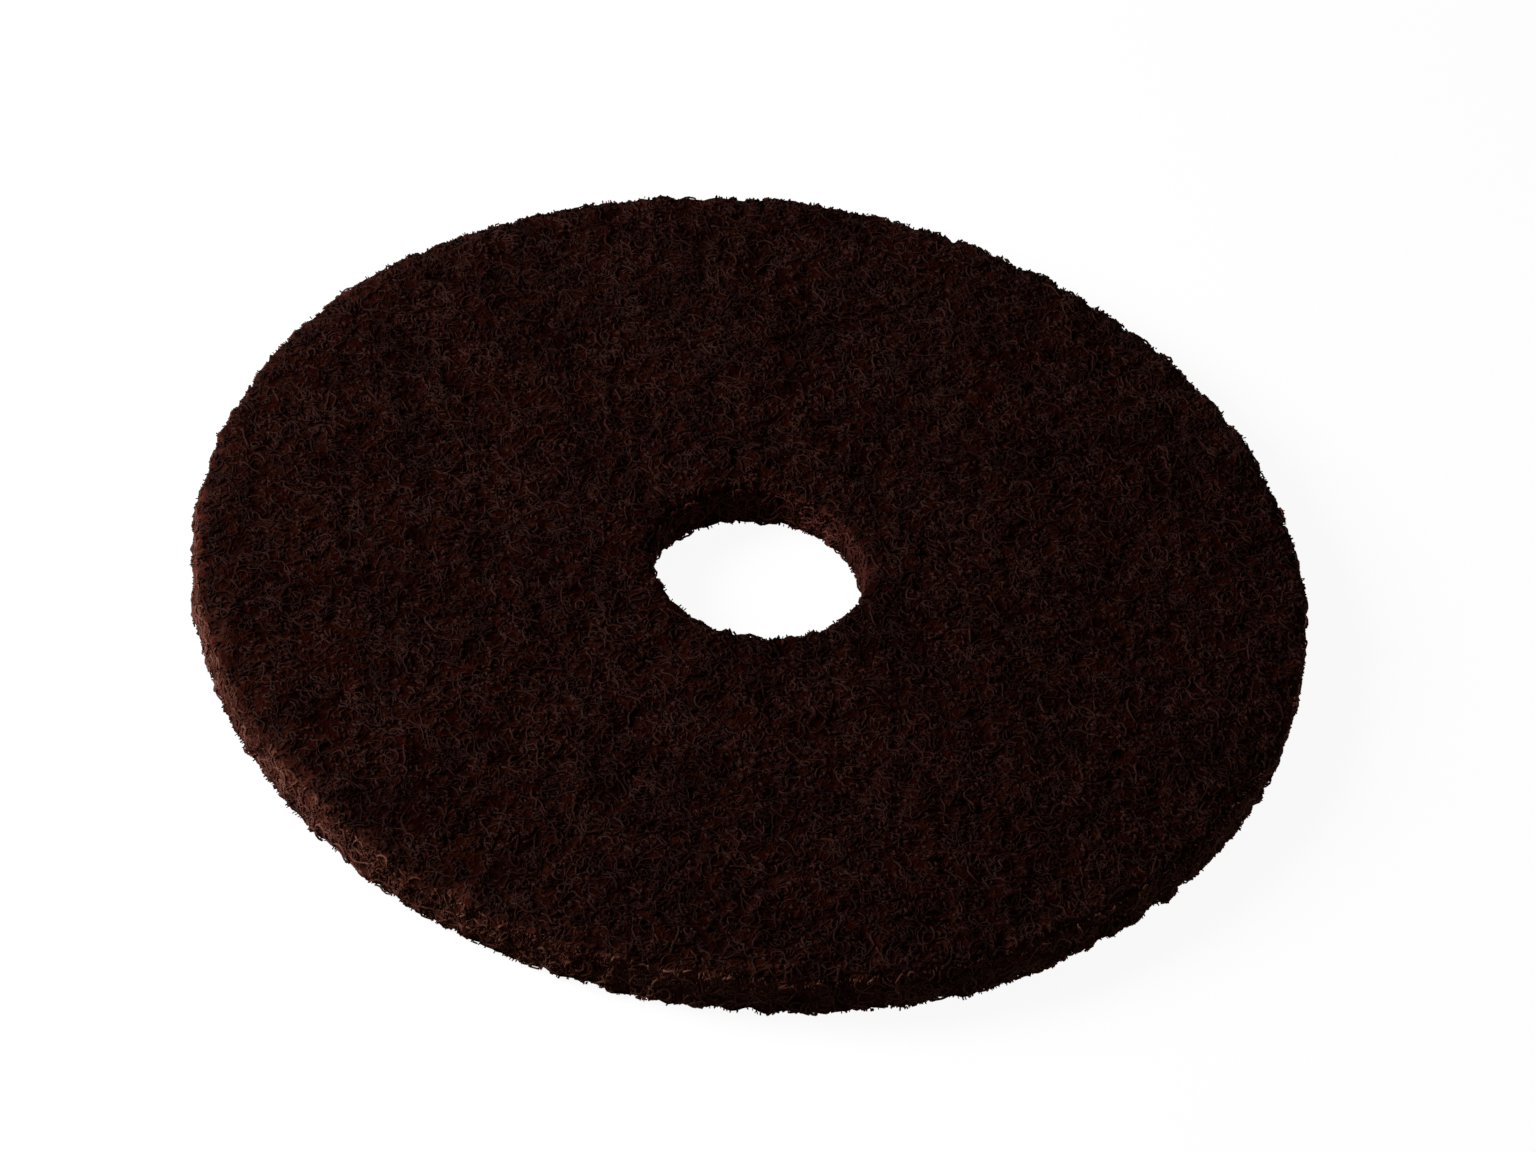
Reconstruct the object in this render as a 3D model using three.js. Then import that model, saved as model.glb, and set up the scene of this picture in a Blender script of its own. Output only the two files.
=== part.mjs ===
// A round floor polishing pad for a 17 inch floor machine: one thick disc of springy non-woven
// web, cut from the sheet by a round die, with a round hole punched through its middle.
// Millimetres, +Z up. The origin is on the floor, under the middle of the disc.

import * as THREE from "three";
import { mergeVertices } from "three/addons/utils/BufferGeometryUtils.js";

// Driving dimensions

const PAD_DIAMETER = 432;
const PAD_THICKNESS = 21;
const HOLE_DIAMETER = 83;

// The punch landed a little off the middle, towards +X.
const HOLE_OFF_CENTRE = 2.5;

// The web springs back after the die has squeezed it, so the edges of both faces are rounded
// and the cut walls swell a little at mid-height.
const EDGE_ROUNDING = 2.5;
const WALL_SWELL = 0.3;

// How far in from a cut wall the faces still follow its uneven line.
const EDGE_DISTURBED = 14;

// The cut lines are slightly out of round. Each wave has a number of lobes round the circle,
// a height in mm, the angle of one crest in degrees, and a lean: the degrees by which its crests
// drift for each mm up the wall, so that the short waves read as tufts and not as flutes.
const OUTER_WAVES = [
  { lobes: 3, height: 0.5, crest: 36, lean: 0 },
  { lobes: 5, height: 0.2, crest: 7, lean: 0 },
  { lobes: 7, height: 0.35, crest: -13, lean: 0 },
  { lobes: 17, height: 0.18, crest: 4, lean: 0.15 },
  { lobes: 29, height: 0.2, crest: 9, lean: -0.25 },
  { lobes: 41, height: 0.16, crest: 2, lean: 0.3 },
];
const HOLE_WAVES = [
  { lobes: 2, height: 0.35, crest: -2, lean: 0 },
  { lobes: 4, height: 0.35, crest: -20, lean: 0 },
  { lobes: 9, height: 0.15, crest: 11, lean: 0.8 },
  { lobes: 16, height: 0.12, crest: 5, lean: -0.9 },
];

// Fineness of the surface

const STEPS_ROUND = 180;
const STEPS_PER_EDGE = 3;
const STEPS_UP_WALL = 3;
const RINGS_ON_FACE = 3;

const PAD_RADIUS = PAD_DIAMETER / 2;
const HOLE_RADIUS = HOLE_DIAMETER / 2;
const MID_HEIGHT = PAD_THICKNESS / 2;

// The web between the two cut walls, and the widest rounding that it and the thickness allow.
const WEB_WIDTH = PAD_RADIUS - HOLE_RADIUS;
const LARGEST_EDGE_SHARE = 0.45;
const EDGE_RADIUS = Math.min(
  EDGE_ROUNDING,
  LARGEST_EDGE_SHARE * PAD_THICKNESS,
  LARGEST_EDGE_SHARE * WEB_WIDTH,
);

// One cut wall from the bottom face to the top face, as points (distance from the axis, height).
// out is +1 where the wall looks away from the axis and -1 where it looks at it.
function wallPoints(wallRadius, out) {
  const swollen = wallRadius - out * WALL_SWELL;
  const edgeCentre = swollen - out * EDGE_RADIUS;
  const upperStart = PAD_THICKNESS - EDGE_RADIUS;
  const points = [];
  for (let i = 0; i <= STEPS_PER_EDGE; i += 1) {
    const turn = (Math.PI / 2) * (i / STEPS_PER_EDGE);
    const radius = edgeCentre + out * EDGE_RADIUS * Math.sin(turn);
    points.push(new THREE.Vector2(radius, EDGE_RADIUS * (1 - Math.cos(turn))));
  }
  for (let i = 1; i < STEPS_UP_WALL; i += 1) {
    const share = i / STEPS_UP_WALL;
    const height = EDGE_RADIUS + (upperStart - EDGE_RADIUS) * share;
    points.push(new THREE.Vector2(swollen + out * WALL_SWELL * Math.sin(Math.PI * share), height));
  }
  for (let i = 0; i <= STEPS_PER_EDGE; i += 1) {
    const turn = (Math.PI / 2) * (i / STEPS_PER_EDGE);
    const radius = edgeCentre + out * EDGE_RADIUS * Math.cos(turn);
    points.push(new THREE.Vector2(radius, upperStart + EDGE_RADIUS * Math.sin(turn)));
  }
  return points;
}

// The rings that share out a flat face between two walls, at one height.
function facePoints(fromRadius, toRadius, height) {
  const points = [];
  for (let i = 1; i < RINGS_ON_FACE; i += 1) {
    const radius = THREE.MathUtils.lerp(fromRadius, toRadius, i / RINGS_ON_FACE);
    points.push(new THREE.Vector2(radius, height));
  }
  return points;
}

// The closed cross-section of the web on one side of the axis: up the outer wall, in over the
// top face, down the wall of the hole and out again under the bottom face.
function sectionPoints() {
  const outer = wallPoints(PAD_RADIUS, 1);
  const hole = wallPoints(HOLE_RADIUS, -1);
  const outerFaceEnd = outer[0].x;
  const holeFaceEnd = hole[0].x;
  return [
    ...outer,
    ...facePoints(outerFaceEnd, holeFaceEnd, PAD_THICKNESS),
    ...hole.reverse(),
    ...facePoints(holeFaceEnd, outerFaceEnd, 0),
    outer[0].clone(),
  ];
}

// The unevenness of a cut line, in mm, at an angle round the pad and a height up its wall.
function waveAt(waves, angle, height) {
  let sum = 0;
  for (const wave of waves) {
    const crest = THREE.MathUtils.degToRad(wave.crest + wave.lean * (height - MID_HEIGHT));
    sum += wave.height * Math.cos(wave.lobes * (angle - crest));
  }
  return sum;
}

// Moves the revolved web sideways: out and in with the uneven cut lines, which fade away from
// the walls, and over to where the hole was punched, which fades towards the outer wall.
function unevenCut(geometry) {
  const position = geometry.getAttribute("position");
  for (let i = 0; i < position.count; i += 1) {
    const point = new THREE.Vector3().fromBufferAttribute(position, i);
    const angle = Math.atan2(point.y, point.x);
    const radius = Math.hypot(point.x, point.y);
    const nearOuter = 1 - THREE.MathUtils.smoothstep(PAD_RADIUS - radius, 0, EDGE_DISTURBED);
    const nearHole = 1 - THREE.MathUtils.smoothstep(radius - HOLE_RADIUS, 0, EDGE_DISTURBED);
    const moved =
      radius +
      nearOuter * waveAt(OUTER_WAVES, angle, point.z) +
      nearHole * waveAt(HOLE_WAVES, angle, point.z);
    const shift = HOLE_OFF_CENTRE * THREE.MathUtils.clamp((PAD_RADIUS - radius) / WEB_WIDTH, 0, 1);
    position.setXY(i, moved * Math.cos(angle) + shift, moved * Math.sin(angle));
  }
}

// The disc: the section turned once round the axis, then given its uneven cut.
function padGeometry() {
  const turned = new THREE.LatheGeometry(sectionPoints(), STEPS_ROUND);
  turned.rotateX(Math.PI / 2);
  turned.deleteAttribute("normal");
  turned.deleteAttribute("uv");
  const closed = mergeVertices(turned, 1e-4);
  unevenCut(closed);
  closed.computeVertexNormals();
  return closed;
}

// Synthetic fibre bound with a dark brown abrasive resin: nearly black, and quite matt.
const webMaterial = new THREE.MeshStandardMaterial({
  color: 0x26130e,
  roughness: 0.95,
  metalness: 0,
});

const floorPad = new THREE.Group();
const pad = new THREE.Mesh(padGeometry(), webMaterial);
pad.name = "pad";
floorPad.add(pad);

export default floorPad;
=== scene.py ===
# A round floor polishing pad, dressed as what it is: an open web of curled, resin-coated fibres
# over a darker felted core. Lengths are in metres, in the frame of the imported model.

import math

import bpy
import numpy as np
from mathutils import Matrix, Vector, noise
from mathutils.bvhtree import BVHTree

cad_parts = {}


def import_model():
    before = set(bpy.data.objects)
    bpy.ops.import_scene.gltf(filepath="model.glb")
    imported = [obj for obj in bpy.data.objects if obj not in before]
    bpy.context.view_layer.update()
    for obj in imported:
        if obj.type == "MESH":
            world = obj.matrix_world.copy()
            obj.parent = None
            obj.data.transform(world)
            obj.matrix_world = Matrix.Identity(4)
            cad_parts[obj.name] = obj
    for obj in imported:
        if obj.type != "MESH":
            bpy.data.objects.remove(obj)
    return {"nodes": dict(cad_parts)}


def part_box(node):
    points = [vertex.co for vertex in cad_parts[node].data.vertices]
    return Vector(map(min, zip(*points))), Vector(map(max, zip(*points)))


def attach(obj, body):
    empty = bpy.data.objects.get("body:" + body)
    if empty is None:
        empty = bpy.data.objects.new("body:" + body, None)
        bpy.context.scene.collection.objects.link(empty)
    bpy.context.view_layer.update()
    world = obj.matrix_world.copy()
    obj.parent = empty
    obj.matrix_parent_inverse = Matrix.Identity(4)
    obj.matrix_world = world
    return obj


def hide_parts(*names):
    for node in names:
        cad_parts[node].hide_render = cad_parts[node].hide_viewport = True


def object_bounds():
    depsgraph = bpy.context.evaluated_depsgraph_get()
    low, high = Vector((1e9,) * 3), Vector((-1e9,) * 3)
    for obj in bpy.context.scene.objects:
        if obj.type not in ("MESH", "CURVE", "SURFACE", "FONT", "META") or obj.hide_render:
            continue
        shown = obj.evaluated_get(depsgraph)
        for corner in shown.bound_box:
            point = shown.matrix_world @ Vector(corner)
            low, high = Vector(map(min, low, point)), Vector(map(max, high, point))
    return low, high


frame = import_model()
cad_low, cad_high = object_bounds()

MM = 0.001
BODY = "root"
NODE = "pad"
SEED = 17

pad_low, pad_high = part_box(NODE)
THICKNESS = pad_high.z - pad_low.z
OUTER_RADIUS = (pad_high.x - pad_low.x) / 2

# The web's fibres: their width, the distance between the points along them, how many points each
# has, how few a cut one may keep, and how deep its middle line lies under the surface of the
# felt, from and to. Each is a tube with three sides, so that one triangle closes each end.
FIBRE_WIDTH = (0.7 * MM, 1.2 * MM)
STRIDE = 1.7 * MM
FIBRE_POINTS = 8
LEAST_POINTS = 2
LAYER = (0.0 * MM, 0.6 * MM)
SIDES = 3

# Curl: how much a fibre's bend changes at each point, and how much of it is kept to the next.
CURL = 0.55
CURL_KEPT = 0.7

# Crimp: the waves by which a fibre dips into the web and comes out again.
CRIMP_HEIGHT = (0.05 * MM, 0.3 * MM)
CRIMP_LENGTH = (4 * MM, 9 * MM)

# In a cut wall the fibres lie mostly level, within this spread in radians. Neither they nor the cut
# ends reach up round the upper edge to where the skin's normal points up by more than this.
WALL_SLANT = 0.5
SHOULDER = 0.35

# The short ends that the die left standing out of a cut wall: how deep each is rooted, how far it
# reaches, how far it may lean aside for each step straight out, and its width.
END_ROOT = 0.8 * MM
END_REACH = (0.1 * MM, 0.7 * MM)
END_LEAN = 2.0
END_WIDTH = (0.4 * MM, 0.75 * MM)

# Short loops that arch out of a face: half the distance between their two feet, how far each is
# bowed sideways, as a share of that, how far it rises over the felt, how deep its feet are, and
# its width.
LOOP_REACH = (0.7 * MM, 1.4 * MM)
LOOP_BOW = 0.7
LOOP_RISE = (-0.1 * MM, 0.15 * MM)
LOOP_FEET = 0.8 * MM
LOOP_WIDTH = (0.9 * MM, 1.6 * MM)

# How many pieces of fibres the top face has, and how many fibres, loops or cut ends are laid for
# each piece of the pad. A few of them miss the solid and are left out.
TOP_PIECES = 2
TOP_FIBRES = 3700
TOP_LOOPS = 14000
UNDER_FIBRES = 3200
RIM_FIBRES = 1750
RIM_ENDS = 6000
HOLE_FIBRES = 340
HOLE_ENDS = 1200

# The felt is lumpy, here as (size, height) of its lumps. The fibres ride on them.
LUMPS = [(14 * MM, 0.8 * MM), (6 * MM, 1.4 * MM), (3.5 * MM, 0.8 * MM)]

# How far the felt stands proud of the solid, on average, and how far it lies inside it where the
# pad's weight presses it on the floor: where the skin looks down more squarely than this.
PROUD = 0.5 * MM
PRESSED = 0.6 * MM
SQUARE_DOWN = 0.7

# The rim of a face reaches this far in from the outer wall, and what changes there grows towards
# the wall with this power. The top face droops there by this much.
RIM_REACH = 14 * MM
RIM_POWER = 2
RIM_DROOP = 1.4 * MM

# The core under the fibres: how far it lies under the felt's surface, the grid of its mesh, and how
# far it stays over the floor.
CORE_DEPTH = 0.45 * MM
CORE_GRID = 2.1 * MM
CORE_LIFT = 0.05 * MM

# The palette that a fibre's colour is read from: columns of tone, with a share of each left clear
# on both sides, and rows of depth under the skin of the solid, from and to, with a margin.
PALETTE = "OFBake"
TONES = 16
COLUMN_MARGIN = 0.1
ROWS = (-0.9 * MM, 1.9 * MM)
ROW_MARGIN = 0.02

# Tones spread evenly over this range, and drift from clump to clump, here as (size, drift). The
# core's brightness takes this share of that drift. Near the rim of a face the tones grow paler by
# this much, and towards the top of a cut wall darker, as painted shade for the floor's light that
# reaches only the lower wall. The powers say how close to the top the wall starts to darken, and how
# level the skin has to be to count as face.
TONE_SPREAD = (0.2, 0.8)
CLUMPS = [(5 * MM, 1.7), (12 * MM, 1.7), (35 * MM, 1.0)]
CORE_CLUMPS = 0.7
RIM_PALER = 1.4
WALL_TOP_SHADE = 1.1
WALL_SHADE_POWER = 6
FACE_POWER = 8

# Colours of the fibres, from the darkest tone to the palest: on the faces, in the outer wall, where
# the die has cut them, and in the hole, whose cut fibres are darker, partly as painted shade in the
# hole and partly for more resin.
FACE_TONES = [
    (0.0, (0.0075, 0.0013, 0.0007)),
    (0.6, (0.0120, 0.0028, 0.0017)),
    (1.0, (0.0195, 0.0061, 0.0045)),
]
CUT_TONES = [
    (0.0, (0.048, 0.0145, 0.009)),
    (0.6, (0.083, 0.028, 0.0185)),
    (1.0, (0.100, 0.038, 0.027)),
]
# Painted shade in part: the hole's fibres are darker than the outer wall's, partly for the shade in
# the hole and partly for more resin.
HOLE_TONES = [
    (0.0, (0.032, 0.0068, 0.0047)),
    (0.6, (0.058, 0.0132, 0.0092)),
    (1.0, (0.078, 0.022, 0.0165)),
]

# Painted light and shade on the fibres: how bright a fibre is at each row of the palette, from what
# stands out to what lies deepest.
DEPTH_PAINTED_SHADE = [(0.15, 1.15), (0.45, 0.98), (0.8, 0.65)]

# The finish of a fibre: dull, with little gloss left in its resin.
FIBRE_ROUGHNESS = 0.75
FIBRE_SPECULAR = 0.05

# The fibres that show in the core itself are sheets of curled lines, each sheet with a shift of
# its own in the noise: how wide their curls are, where in the noise a line lies, and how far the
# lines stand out. They fade in and out with the knots of the web, which have a size, a fineness
# and a range of brightness of their own.
LINE_SHEETS = (0.0, 7.3)
LINE_CURL = 3.2 * MM
LINE_BAND = [(0.41, 0.0), (0.5, 1.0), (0.59, 0.0)]
LINE_HEIGHT = 0.7 * MM
KNOT_SIZE = 2.6 * MM
KNOT_DETAIL = 3
KNOT_SHADES = [(0.35, 0.3), (0.6, 1.0)]

# The core's colours, from its pores to its fibres, on a face and where the die has cut it.
FACE_FELT = [(0.0, (0.0085, 0.0013, 0.0007)), (0.8, (0.0155, 0.0042, 0.0029))]
CUT_FELT = [(0.0, (0.03, 0.007, 0.0045)), (0.8, (0.08, 0.026, 0.018))]

# Painted shade on the core, with its share of the clumps' drift in tone: how much its own height
# brightens or darkens it, from its valleys to its lumps.
HEIGHT_PAINTED_SHADE_AND_TONE = [(0.2, 0.7), (0.75, 1.35)]

# The core counts as cut where its skin is no more level than this, from the first sign to fully.
# The rim of a face counts by a share of its own, and all that is cut in the hole by another, which
# keeps the hole darker: partly painted shade, partly more resin.
STEEP = (0.9, 0.3)
RIM_CUT = 0.5
HOLE_CUT = 0.45
CUT_MARK = "cut"
# The name under which the core stores its painted shade, with the clumps' drift in tone.
PAINTED_SHADE_AND_TONE_MARK = "shade"

WHITE = (1, 1, 1, 1)

# The floor: its size, how much light it gives back to the pad, and how bright it looks itself.
FLOOR_SIZE = 8.0
FLOOR_GREY = 0.1
FLOOR_GLOW = 0.93

# The light all round: how bright it is on the pad, and how bright it looks itself.
WORLD_LIGHT = 0.1
WORLD_LOOK = 1.0

# The lamp: a soft disk, low on the side that the photo shows at the left. Here are its direction
# from the pad, its distance, its width and its power.
KEY_AZIMUTH = math.radians(181)
KEY_HEIGHT = math.radians(30)
KEY_DISTANCE = 1.35
KEY_SIZE = 0.8
KEY_WATTS = 30.5

# The photo's camera, fitted to the outlines of the disc and the hole: its picture's width in
# pixels and its sensor's in millimetres, its focal length in those pixels, the angle by which it
# looks down, its roll, its distance from the pad's middle, and how far its axis is turned aside
# from there, as shares of that distance.
PICTURE_WIDTH = 1536
SENSOR_WIDTH = 36
FOCAL_PIXELS = 6055.6
CAMERA_HEIGHT = math.radians(44.226)
CAMERA_ROLL = math.radians(7.699)
CAMERA_DISTANCE = 2.3541
AIM_RIGHT = -0.002654
AIM_UP = -0.000441

# The two ways that a face can look.
UP = 1
DOWN = -1

# A ray to the skin starts this far outside it. The hole's middle is found with this many rays.
PROBE = 20 * MM
HOLE_RAYS = 72

# Too small a number to matter, which keeps others clear of 0 and 1.
TINY = 1e-6

rng = np.random.default_rng(SEED)


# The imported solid, as a skin that fibres are laid on

cad_mesh = frame["nodes"][NODE].data
skin = BVHTree.FromPolygons(
    [vertex.co for vertex in cad_mesh.vertices],
    [tuple(polygon.vertices) for polygon in cad_mesh.polygons],
)


def cast(starts, directions):
    """Where rays meet the skin, as points and normals. A ray that misses gives not-a-number."""
    points = np.full(starts.shape, np.nan)
    normals = np.full(starts.shape, np.nan)
    for i, (start, direction) in enumerate(zip(starts.tolist(), directions.tolist())):
        hit, normal, _, _ = skin.ray_cast(Vector(start), Vector(direction), 2 * PROBE + THICKNESS)
        if hit is not None:
            points[i] = hit
            normals[i] = normal
    return points, normals


def level_directions(angle):
    """Unit vectors that point level, at each angle round the upright axis."""
    return np.stack([np.cos(angle), np.sin(angle), np.zeros_like(angle)], -1)


def hole_centre_and_radius():
    """The middle of the hole and its mean radius, from rays cast at the wall's mid-height."""
    away = level_directions(np.linspace(0, 2 * math.pi, HOLE_RAYS, endpoint=False))
    starts = np.zeros_like(away)
    starts[:, 2] = pad_low.z + THICKNESS / 2
    wall = cast(starts, away)[0][:, :2]
    centre = (wall.max(0) + wall.min(0)) / 2
    return centre, float(np.linalg.norm(wall - centre, axis=1).mean())


HOLE_CENTRE, HOLE_RADIUS = hole_centre_and_radius()


def on_face(x, y, way):
    """Points of the face that looks this way (UP or DOWN), over or under (x, y)."""
    level = pad_high.z + PROBE if way == UP else pad_low.z - PROBE
    starts = np.stack([x, y, np.full_like(x, level)], -1)
    directions = np.broadcast_to(np.array([0.0, 0.0, -way]), starts.shape)
    return cast(starts, directions)


def below_shoulder(points, normals):
    """The same hits, with not-a-number for the points past the shoulder of the upper edge."""
    past = normals[:, 2] > SHOULDER
    return np.where(past[:, None], np.nan, points), normals


def on_outer_wall(angle, z):
    """Points of the outer wall at an angle round the pad and a height."""
    away = level_directions(angle)
    starts = away * (OUTER_RADIUS + PROBE)
    starts[:, 2] = z
    return below_shoulder(*cast(starts, -away))


def on_hole_wall(angle, z):
    """Points of the hole's wall at an angle round its own centre and a height."""
    away = level_directions(angle)
    starts = np.zeros_like(away)
    starts[:, :2] = HOLE_CENTRE
    starts[:, 2] = z
    return below_shoulder(*cast(starts, away))


# The felt's surface over that skin, and the tone of what lies on it


def noise_at(points, size):
    """Smooth noise of about -1 to 1 at each point, with features of the given size."""
    flat = np.nan_to_num(points).reshape(-1, 3) / size
    values = [noise.noise(Vector(point)) for point in flat.tolist()]
    return np.array(values).reshape(points.shape[:-1])


def near_rim(points):
    """How near each point is to the outer wall: 0 inside the pad, rising to 1 at the wall."""
    inward = OUTER_RADIUS - np.hypot(points[..., 0], points[..., 1])
    return np.clip(1 - inward / RIM_REACH, 0, 1) ** RIM_POWER


def felt_at(points, normals):
    """How far the felt stands proud of the skin at each point."""
    pressed = np.clip((-normals[..., 2] - SQUARE_DOWN) / (1 - SQUARE_DOWN), 0, 1)
    up = np.clip(normals[..., 2], 0, 1)
    level = PROUD - (PROUD + PRESSED) * pressed - RIM_DROOP * up * near_rim(points)
    return level + sum(height * noise_at(points, size) for size, height in LUMPS)


def clump_at(points):
    """How much the tone at each point drifts with the clumps of the web."""
    return sum(drift * noise_at(points, size) for size, drift in CLUMPS)


def tone_and_shade_at(points, normals):
    """How much paler the fibres at each point are than most: tone that drifts from clump to clump,
    paler rims of the faces, and painted shade towards the top of a cut wall.
    """
    flat = np.abs(normals[..., 2])
    height = np.clip((points[..., 2] - pad_low.z) / THICKNESS, 0, 1)
    rim = RIM_PALER * near_rim(points) * flat
    # Painted shade: darker towards the top of a cut wall.
    wall_top_shade = height**WALL_SHADE_POWER * (1 - flat**FACE_POWER)
    return clump_at(points) + rim - WALL_TOP_SHADE * wall_top_shade


# Fibres


def normalised(vectors):
    """The same vectors, each made one long."""
    return vectors / np.maximum(np.linalg.norm(vectors, axis=-1, keepdims=True), TINY)


def bends(count, points):
    """The heading of each fibre at each of its points, bending to and fro as it goes."""
    kicks = rng.normal(0, CURL, (count, points))
    turns = np.zeros((count, points))
    turn = rng.normal(0, CURL, count)
    for i in range(points):
        turn = CURL_KEPT * turn + kicks[:, i]
        turns[:, i] = turn
    return rng.uniform(0, 2 * math.pi, (count, 1)) + np.cumsum(turns, 1)


def crimps(count, points):
    """How deep each fibre lies under the surface of the felt at each of its points."""
    base = rng.uniform(*LAYER, (count, 1))
    height = rng.uniform(*CRIMP_HEIGHT, (count, 1))
    length = rng.uniform(*CRIMP_LENGTH, (count, 1))
    phase = rng.uniform(0, 2 * math.pi, (count, 1))
    along = np.arange(points) * STRIDE
    return base + height * np.sin(phase + 2 * math.pi * along / length)


def leading(valid):
    """Which points of each fibre come before its first one that missed the skin."""
    return np.logical_and.accumulate(valid, axis=1)


class Strands:
    """Fibres of different lengths in one flat list of points, none of them through the floor."""

    def __init__(self, points, normals, depth, keep, widths, paler):
        count = keep.sum(1)
        keep = keep & (count >= LEAST_POINTS)[:, None]
        place = np.broadcast_to(np.arange(keep.shape[1]), keep.shape)
        last = place == (count - 1)[:, None]
        # The tone takes the clumps' drift, the rims' paler tone and the painted shade at a wall's
        # top.
        tone = np.clip(rng.uniform(*TONE_SPREAD, len(keep)) + paler, 0, 1 - TINY)[:, None]
        width = rng.uniform(*widths, (len(keep), 1))
        self.points = points[keep]
        self.normals = normals[keep]
        self.depth = depth[keep]
        self.first = (place == 0)[keep]
        self.last = last[keep]
        self.tone = np.broadcast_to(tone, keep.shape)[keep]
        self.width = np.broadcast_to(width, keep.shape)[keep]
        self.points[:, 2] = np.maximum(self.points[:, 2], pad_low.z + self.width / 2)


def laid(across, along, depth, surface, widths=FIBRE_WIDTH):
    """Strands that follow a surface at given depths under its felt, each cut where it leaves it."""
    points, normals = surface(across.ravel(), along.ravel())
    valid = ~np.isnan(points[:, 0]).reshape(depth.shape)
    points = points.reshape(*depth.shape, 3)
    normals = normals.reshape(*depth.shape, 3)
    paler = tone_and_shade_at(points[:, 0], normals[:, 0])
    depth = depth - felt_at(points, normals)
    lines = points - normals * depth[..., None]
    return Strands(lines, normals, depth, leading(valid), widths, paler)


def scattered(count):
    """Places spread evenly over a face, as x and y."""
    radius = np.sqrt(rng.uniform(HOLE_RADIUS**2, OUTER_RADIUS**2, count))
    around = rng.uniform(0, 2 * math.pi, count)
    return (radius * np.cos(around))[:, None], (radius * np.sin(around))[:, None]


def face_strands(count, way):
    """Fibres that lie in a face, every way round, cut where they reach an edge."""
    x, y = scattered(count)
    heading = bends(count, FIBRE_POINTS)
    x = x + np.cumsum(np.cos(heading), 1) * STRIDE
    y = y + np.cumsum(np.sin(heading), 1) * STRIDE
    return laid(x, y, crimps(count, FIBRE_POINTS), lambda a, b: on_face(a, b, way))


def face_loops(count, way):
    """Short loops that arch out of a face, every way round."""
    x, y = scattered(count)
    heading = rng.uniform(0, 2 * math.pi, (count, 1))
    reach = rng.uniform(*LOOP_REACH, (count, 1)) * np.array([-1, 0, 1])
    bow = rng.uniform(-LOOP_BOW, LOOP_BOW, (count, 1)) * np.abs(reach)
    x = x + reach * np.cos(heading) - bow * np.sin(heading)
    y = y + reach * np.sin(heading) + bow * np.cos(heading)
    top = -rng.uniform(*LOOP_RISE, (count, 1))
    depth = np.where(reach == 0, top, LOOP_FEET)
    return laid(x, y, depth, lambda a, b: on_face(a, b, way), LOOP_WIDTH)


def wall_strands(count, surface, radius):
    """Fibres that show in a cut wall, mostly level, cut where they leave it."""
    around = rng.uniform(0, 2 * math.pi, count)
    height = rng.uniform(pad_low.z, pad_high.z, count)
    level = rng.normal(0, WALL_SLANT, (count, 1)) + math.pi * rng.integers(0, 2, (count, 1))
    heading = bends(count, FIBRE_POINTS)
    heading += level - heading[:, :1]
    angle = around[:, None] + np.cumsum(np.cos(heading), 1) * STRIDE / radius
    z = height[:, None] + np.cumsum(np.sin(heading), 1) * STRIDE
    return laid(angle, z, crimps(count, FIBRE_POINTS), surface)


def cut_ends(count, surface):
    """Short ends that stand out of a cut wall, each leaning its own way."""
    angle = rng.uniform(0, 2 * math.pi, count)
    z = rng.uniform(pad_low.z, pad_high.z, count)
    feet, normals = surface(angle, z)
    proud = felt_at(feet, normals)[:, None]
    lean = normalised(rng.normal(0, 1, (count, 3))) * rng.uniform(0, END_LEAN, (count, 1))
    aim = normalised(normals + lean)
    reach = rng.uniform(*END_REACH, (count, 1))
    root = feet + normals * (proud - END_ROOT)
    tip = feet + normals * proud + aim * reach
    points = np.stack([root, tip], 1)
    depth = np.concatenate([END_ROOT - proud, -proud - reach / 2], 1)
    keep = np.broadcast_to(~np.isnan(feet[:, :1]), depth.shape)
    upright = np.broadcast_to(np.array([0.0, 0.0, 1.0]), points.shape)
    return Strands(points, upright, depth, keep, END_WIDTH, tone_and_shade_at(feet, normals))


def strand_vertices(strands):
    """The corners of each strand's tube, a ring of them round each of its points."""
    points = strands.points
    ahead = np.where(strands.last[:, None], points, np.roll(points, -1, 0))
    behind = np.where(strands.first[:, None], points, np.roll(points, 1, 0))
    along = normalised(ahead - behind)
    side = normalised(np.cross(strands.normals, along))
    lift = np.cross(along, side)
    corner = 2 * math.pi * np.arange(SIDES) / SIDES + math.pi / 2
    sideways = np.cos(corner)[None, :, None] * side[:, None]
    upward = np.sin(corner)[None, :, None] * lift[:, None]
    ring = (sideways + upward) * strands.width[:, None, None] / 2
    return (points[:, None] + ring).reshape(-1, 3)


def palette_places(strands, begins, caps):
    """The place in the palette of each corner of the tubes' quads, and then of their caps."""
    column = (np.floor(strands.tone * TONES) + COLUMN_MARGIN) / TONES
    step = (1 - 2 * COLUMN_MARGIN) / TONES / SIDES
    row = np.clip(np.interp(strands.depth, ROWS, (0, 1)), ROW_MARGIN, 1 - ROW_MARGIN)
    u_low = column[begins][:, None] + np.arange(SIDES) * step
    u = np.stack([u_low, u_low + step, u_low + step, u_low], -1)
    v_here = np.broadcast_to(row[begins][:, None], u_low.shape)
    v_next = np.broadcast_to(row[begins + 1][:, None], u_low.shape)
    v = np.stack([v_here, v_here, v_next, v_next], -1)
    tube_places = np.stack([u, v], -1).reshape(-1, 2)
    cap_points = caps // SIDES
    cap_u = column[cap_points] + (caps % SIDES) * step
    cap_places = np.stack([cap_u, row[cap_points]], -1).reshape(-1, 2)
    return np.concatenate([tube_places, cap_places])


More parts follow.
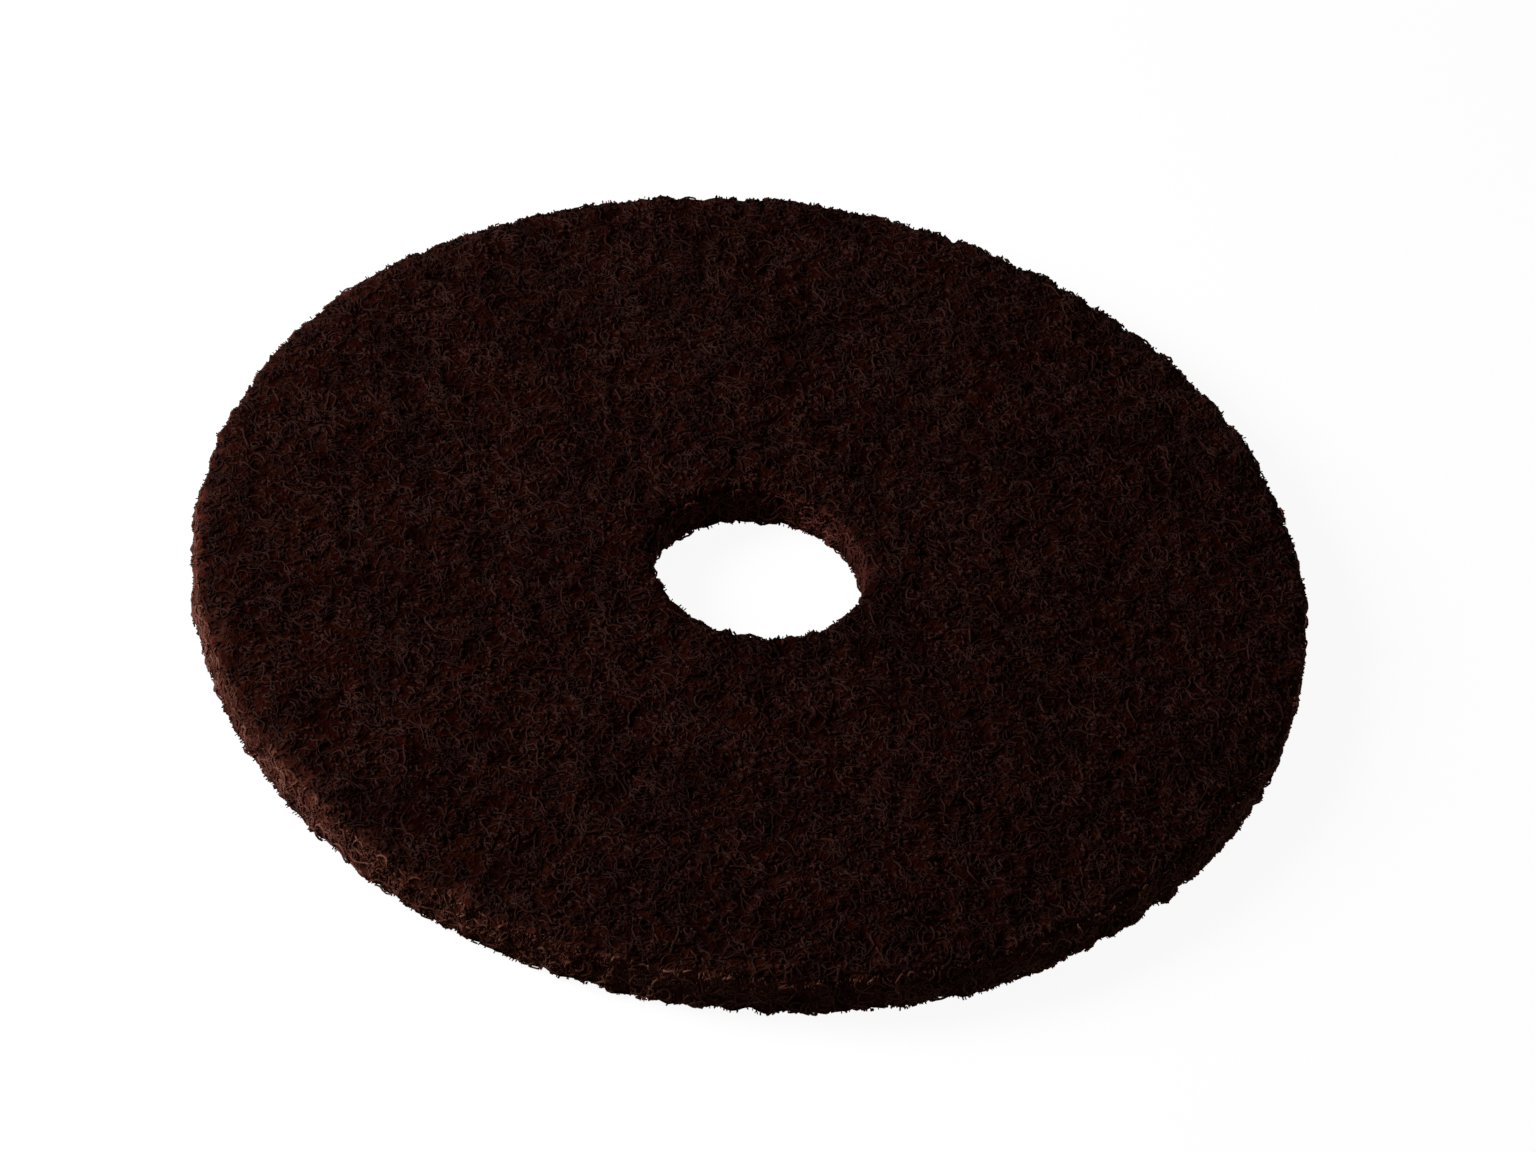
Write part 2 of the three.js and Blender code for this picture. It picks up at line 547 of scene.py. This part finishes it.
def strand_mesh(name, strands):
    """A mesh of closed tubes, one for each strand, with each strand's place in the palette."""
    begins = np.flatnonzero(~strands.last)
    here = np.arange(SIDES)
    next_side = (here + 1) % SIDES
    low = begins[:, None] * SIDES
    high = low + SIDES
    quads = np.stack([low + here, low + next_side, high + next_side, high + here], -1)
    starts = np.flatnonzero(strands.first)[:, None] * SIDES + here[::-1]
    ends = np.flatnonzero(strands.last)[:, None] * SIDES + here
    caps = np.concatenate([starts, ends])
    places = palette_places(strands, begins, caps)
    return mesh_of(name, strand_vertices(strands), quads.reshape(-1, 4), caps, places)


# Meshes and pieces


def mesh_of(name, vertices, quads, triangles, uv):
    """A smooth-shaded mesh from arrays of vertices, quads, triangles and palette places."""
    mesh = bpy.data.meshes.new(name)
    mesh.vertices.add(len(vertices))
    mesh.vertices.foreach_set("co", vertices.astype(np.float32).ravel())
    corners = np.concatenate([quads.ravel(), triangles.ravel()]).astype(np.int32)
    quad_starts = np.arange(len(quads)) * 4
    triangle_starts = len(quads) * 4 + np.arange(len(triangles)) * 3
    starts = np.concatenate([quad_starts, triangle_starts]).astype(np.int32)
    mesh.loops.add(len(corners))
    mesh.loops.foreach_set("vertex_index", corners)
    mesh.polygons.add(len(starts))
    mesh.polygons.foreach_set("loop_start", starts)
    mesh.polygons.foreach_set("use_smooth", np.ones(len(starts), bool))
    layer = mesh.uv_layers.new(name=PALETTE)
    layer.data.foreach_set("uv", uv.astype(np.float32).ravel())
    mesh.update(calc_edges=True)
    return mesh


def linked(name, data):
    """A new object in the scene."""
    made = bpy.data.objects.new(name, data)
    bpy.context.scene.collection.objects.link(made)
    return made


def piece(name, mesh, material):
    """A piece of the pad that rides on its body, with the material given to it."""
    mesh.materials.clear()
    mesh.materials.append(material)
    made = linked(name, mesh)
    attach(made, BODY)
    return made


def fibre_piece(name, strands, material):
    """A piece of the pad made of strands."""
    return piece(name, strand_mesh(name, strands), material)


# The core


def array_of(mesh, name):
    """A vector for each point of the mesh, as rows of three numbers."""
    values = np.zeros(len(mesh.vertices) * 3, np.float32)
    mesh.vertices.foreach_get(name, values)
    return values.reshape(-1, 3)


def mark(mesh, name, values):
    """Stores a number for each point of the mesh, for its material to read."""
    attribute = mesh.attributes.new(name, "FLOAT", "POINT")
    attribute.data.foreach_set("value", values.astype(np.float32))


def remade(mesh, grid):
    """The mesh made again on an even grid."""
    holder = linked("holder", mesh)
    change = holder.modifiers.new("grid", "REMESH")
    change.mode = "VOXEL"
    change.voxel_size = grid
    graph = bpy.context.evaluated_depsgraph_get()
    made = bpy.data.meshes.new_from_object(holder.evaluated_get(graph))
    bpy.data.objects.remove(holder)
    return made


def cut_share(points, normals):
    """How much each point of the core looks as the die leaves it: 0 on a face, 1 in a wall, and less
    in the hole, partly as painted shade.
    """
    steep = np.clip((STEEP[0] - np.abs(normals[:, 2])) / (STEEP[0] - STEEP[1]), 0, 1)
    cut = np.maximum(steep, RIM_CUT * near_rim(points))
    in_hole = np.hypot(points[:, 0], points[:, 1]) < (HOLE_RADIUS + OUTER_RADIUS) / 2
    # Painted shade in part: the hole's core looks less cut, so darker.
    return cut * np.where(in_hole, HOLE_CUT, 1)


def core_mesh():
    """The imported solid, shrunk to lie under the fibres, remade evenly and made lumpy."""
    inner = cad_mesh.copy()
    shrunk = array_of(inner, "co") - array_of(inner, "normal") * CORE_DEPTH
    inner.vertices.foreach_set("co", shrunk.ravel())
    inner.update()
    mesh = remade(inner, CORE_GRID)
    mesh.name = "web_core"
    points = array_of(mesh, "co")
    normals = array_of(mesh, "normal")
    lift = felt_at(points, normals)
    lumpy = points + normals * lift[:, None]
    lumpy[:, 2] = np.maximum(lumpy[:, 2], pad_low.z + CORE_LIFT)
    mesh.vertices.foreach_set("co", lumpy.astype(np.float32).ravel())
    # Painted shade: darker in the felt's valleys and paler on its lumps, with the clumps' drift in
    # tone added.
    height = np.interp(lift - CORE_DEPTH, (-ROWS[1], -ROWS[0]), (0, 1))
    mark(mesh, PAINTED_SHADE_AND_TONE_MARK, height + CORE_CLUMPS * clump_at(points))
    mark(mesh, CUT_MARK, cut_share(points, normals))
    mesh.polygons.foreach_set("use_smooth", np.ones(len(mesh.polygons), bool))
    mesh.update()
    return mesh


# Materials


def node_material(name):
    """A new material, with its nodes and its surface shader."""
    material = bpy.data.materials.new(name)
    material.use_nodes = True
    tree = material.node_tree
    return material, tree, tree.nodes["Principled BSDF"]


def ramp(tree, source, stops):
    """A colour ramp read at source, with stops as (place, (red, green, blue))."""
    made = tree.nodes.new("ShaderNodeValToRGB")
    elements = made.color_ramp.elements
    while len(elements) < len(stops):
        elements.new(0)
    for element, (place, colour) in zip(elements, stops):
        element.position = place
        element.color = (*colour, 1)
    tree.links.new(source, made.inputs["Fac"])
    return made.outputs["Color"]


def grey(stops):
    """Stops of a grey ramp, from stops as (place, brightness)."""
    return [(place, (share, share, share)) for place, share in stops]


def colour_mix(tree, one, other, blend):
    """The result of mixing two colours, and the socket of the mix's factor."""
    mix = tree.nodes.new("ShaderNodeMix")
    mix.data_type = "RGBA"
    mix.blend_type = blend
    tree.links.new(one, mix.inputs["A"])
    tree.links.new(other, mix.inputs["B"])
    return mix.outputs["Result"], mix.inputs["Factor"]


def multiplied(tree, one, other):
    """The product of two colours."""
    result, factor = colour_mix(tree, one, other, "MULTIPLY")
    factor.default_value = 1
    return result


def lighter(tree, one, other):
    """The lighter of two colours, channel by channel."""
    result, factor = colour_mix(tree, one, other, "LIGHTEN")
    factor.default_value = 1
    return result


def mixed(tree, share, one, other):
    """A mix of two colours by a share that changes over the surface."""
    result, factor = colour_mix(tree, one, other, "MIX")
    tree.links.new(share, factor)
    return result


def marked(tree, name):
    """The number that the mesh stores under a name."""
    attribute = tree.nodes.new("ShaderNodeAttribute")
    attribute.attribute_name = name
    return attribute.outputs["Fac"]


def fibre_material(name, tones):
    """Resin-coated fibre: its tone from the palette's column, with painted shade that darkens it the
    deeper it lies.
    """
    material, tree, shader = node_material(name)
    palette = tree.nodes.new("ShaderNodeUVMap")
    palette.uv_map = PALETTE
    split = tree.nodes.new("ShaderNodeSeparateXYZ")
    tree.links.new(palette.outputs["UV"], split.inputs["Vector"])
    tone = ramp(tree, split.outputs["X"], tones)
    # Painted light and shade: the palette's row, the fibre's depth, makes it paler where it stands
    # out and darker deeper down.
    depth = ramp(tree, split.outputs["Y"], grey(DEPTH_PAINTED_SHADE))
    tree.links.new(multiplied(tree, tone, depth), shader.inputs["Base Color"])
    shader.inputs["Roughness"].default_value = FIBRE_ROUGHNESS
    shader.inputs["Specular IOR Level"].default_value = FIBRE_SPECULAR
    return material


def noise_pattern(tree, place, size, shades, detail=0, shift=0):
    """A grey pattern of features of one size, from the noise at a place, finer with more detail."""
    pattern = tree.nodes.new("ShaderNodeTexNoise")
    pattern.noise_dimensions = "4D"
    pattern.inputs["W"].default_value = shift
    pattern.inputs["Scale"].default_value = 1 / size
    pattern.inputs["Detail"].default_value = detail
    tree.links.new(place, pattern.inputs["Vector"])
    return ramp(tree, pattern.outputs["Fac"], grey(shades))


def felt_material():
    """The felted core: dark pores between paler fibres, redder where the die has cut it, with
    painted shade in its valleys.
    """
    material, tree, shader = node_material("felted_core")
    place = tree.nodes.new("ShaderNodeTexCoord").outputs["Object"]
    sheets = [noise_pattern(tree, place, LINE_CURL, LINE_BAND, shift=shift) for shift in LINE_SHEETS]
    knots = noise_pattern(tree, place, KNOT_SIZE, KNOT_SHADES, detail=KNOT_DETAIL)
    web = multiplied(tree, lighter(tree, *sheets), knots)
    face = ramp(tree, web, FACE_FELT)
    cut = ramp(tree, web, CUT_FELT)
    felt = mixed(tree, marked(tree, CUT_MARK), face, cut)
    # Painted shade from the core's valleys and lumps, with the clumps' drift in tone.
    shade = ramp(tree, marked(tree, PAINTED_SHADE_AND_TONE_MARK), grey(HEIGHT_PAINTED_SHADE_AND_TONE))
    tree.links.new(multiplied(tree, felt, shade), shader.inputs["Base Color"])
    bump = tree.nodes.new("ShaderNodeBump")
    bump.inputs["Strength"].default_value = 1
    bump.inputs["Distance"].default_value = LINE_HEIGHT
    tree.links.new(web, bump.inputs["Height"])
    tree.links.new(bump.outputs["Normal"], shader.inputs["Normal"])
    shader.inputs["Roughness"].default_value = 1
    shader.inputs["Specular IOR Level"].default_value = 0
    return material


# Floor, light and camera


def seen_directly(tree):
    """1 for a ray that comes straight from the camera or by way of gloss or glass, else 0."""
    path = tree.nodes.new("ShaderNodeLightPath")
    total = path.outputs["Is Camera Ray"]
    for output in ("Is Glossy Ray", "Is Transmission Ray"):
        either = tree.nodes.new("ShaderNodeMath")
        either.operation = "MAXIMUM"
        tree.links.new(total, either.inputs[0])
        tree.links.new(path.outputs[output], either.inputs[1])
        total = either.outputs["Value"]
    return total


def floor():
    """A plain pale floor that the pad lies on, and that keeps its shadow."""
    half = FLOOR_SIZE / 2
    z = cad_low.z
    mesh = bpy.data.meshes.new("floor")
    corners = [(-half, -half, z), (half, -half, z), (half, half, z), (-half, half, z)]
    mesh.from_pydata(corners, [], [(0, 1, 2, 3)])
    material, tree, shader = node_material("pale_floor")
    shader.inputs["Base Color"].default_value = (FLOOR_GREY, FLOOR_GREY, FLOOR_GREY, 1)
    shader.inputs["Roughness"].default_value = 1
    shader.inputs["Specular IOR Level"].default_value = 0
    shader.inputs["Emission Color"].default_value = WHITE
    glow = tree.nodes.new("ShaderNodeMapRange")
    glow.inputs["To Max"].default_value = FLOOR_GLOW
    tree.links.new(seen_directly(tree), glow.inputs["Value"])
    tree.links.new(glow.outputs["Result"], shader.inputs["Emission Strength"])
    mesh.materials.append(material)
    linked("floor", mesh)


def world():
    """Even light from all round, which looks white."""
    made = bpy.data.worlds.new("studio")
    made.use_nodes = True
    tree = made.node_tree
    background = tree.nodes["Background"]
    background.inputs["Color"].default_value = WHITE
    strength = tree.nodes.new("ShaderNodeMapRange")
    strength.inputs["To Min"].default_value = WORLD_LIGHT
    strength.inputs["To Max"].default_value = WORLD_LOOK
    tree.links.new(seen_directly(tree), strength.inputs["Value"])
    tree.links.new(strength.outputs["Result"], background.inputs["Strength"])
    bpy.context.scene.world = made


def key_light():
    """The lamp, turned to the pad."""
    lamp = bpy.data.lights.new("key", "AREA")
    lamp.shape = "DISK"
    lamp.size = KEY_SIZE
    lamp.energy = KEY_WATTS
    level = math.cos(KEY_HEIGHT)
    x = math.cos(KEY_AZIMUTH) * level
    y = math.sin(KEY_AZIMUTH) * level
    toward = Vector((x, y, math.sin(KEY_HEIGHT)))
    made = linked("key", lamp)
    made.location = toward * KEY_DISTANCE
    made.rotation_euler = toward.to_track_quat("Z", "Y").to_euler()


def camera():
    """The photo's camera, looking at the pad's middle but for the aim."""
    data = bpy.data.cameras.new("camera")
    data.sensor_width = SENSOR_WIDTH
    data.lens = FOCAL_PIXELS * SENSOR_WIDTH / PICTURE_WIDTH
    back = Vector((0, -math.cos(CAMERA_HEIGHT), math.sin(CAMERA_HEIGHT)))
    right = Vector((1, 0, 0))
    up = back.cross(right)
    rolled_right = right * math.cos(CAMERA_ROLL) + up * math.sin(CAMERA_ROLL)
    rolled_up = up * math.cos(CAMERA_ROLL) - right * math.sin(CAMERA_ROLL)
    away = (back + rolled_right * AIM_RIGHT + rolled_up * AIM_UP).normalized()
    across = (rolled_right - away * rolled_right.dot(away)).normalized()
    turned = Matrix((across, away.cross(across), away)).transposed().to_4x4()
    middle = Vector((0, 0, pad_low.z + THICKNESS / 2))
    made = linked("camera", data)
    made.matrix_world = Matrix.Translation(middle + back * CAMERA_DISTANCE) @ turned
    bpy.context.scene.camera = made


# The pieces of the pad

face_fibre = fibre_material("face_fibre", FACE_TONES)
cut_fibre = fibre_material("cut_fibre", CUT_TONES)
hole_fibre = fibre_material("hole_fibre", HOLE_TONES)

core = piece("web_core", core_mesh(), felt_material())
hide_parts(NODE)

for i in range(TOP_PIECES):
    fibre_piece(f"top_fibres_{i + 1}", face_strands(TOP_FIBRES, UP), face_fibre)
fibre_piece("top_loops", face_loops(TOP_LOOPS, UP), face_fibre)
fibre_piece("under_fibres", face_strands(UNDER_FIBRES, DOWN), face_fibre)
fibre_piece("rim_fibres", wall_strands(RIM_FIBRES, on_outer_wall, OUTER_RADIUS), cut_fibre)
fibre_piece("rim_cut_ends", cut_ends(RIM_ENDS, on_outer_wall), cut_fibre)
fibre_piece("hole_fibres", wall_strands(HOLE_FIBRES, on_hole_wall, HOLE_RADIUS), hole_fibre)
fibre_piece("hole_cut_ends", cut_ends(HOLE_ENDS, on_hole_wall), hole_fibre)

# The scene round it

floor()
world()
key_light()
camera()
bpy.context.scene.view_settings.view_transform = "Standard"
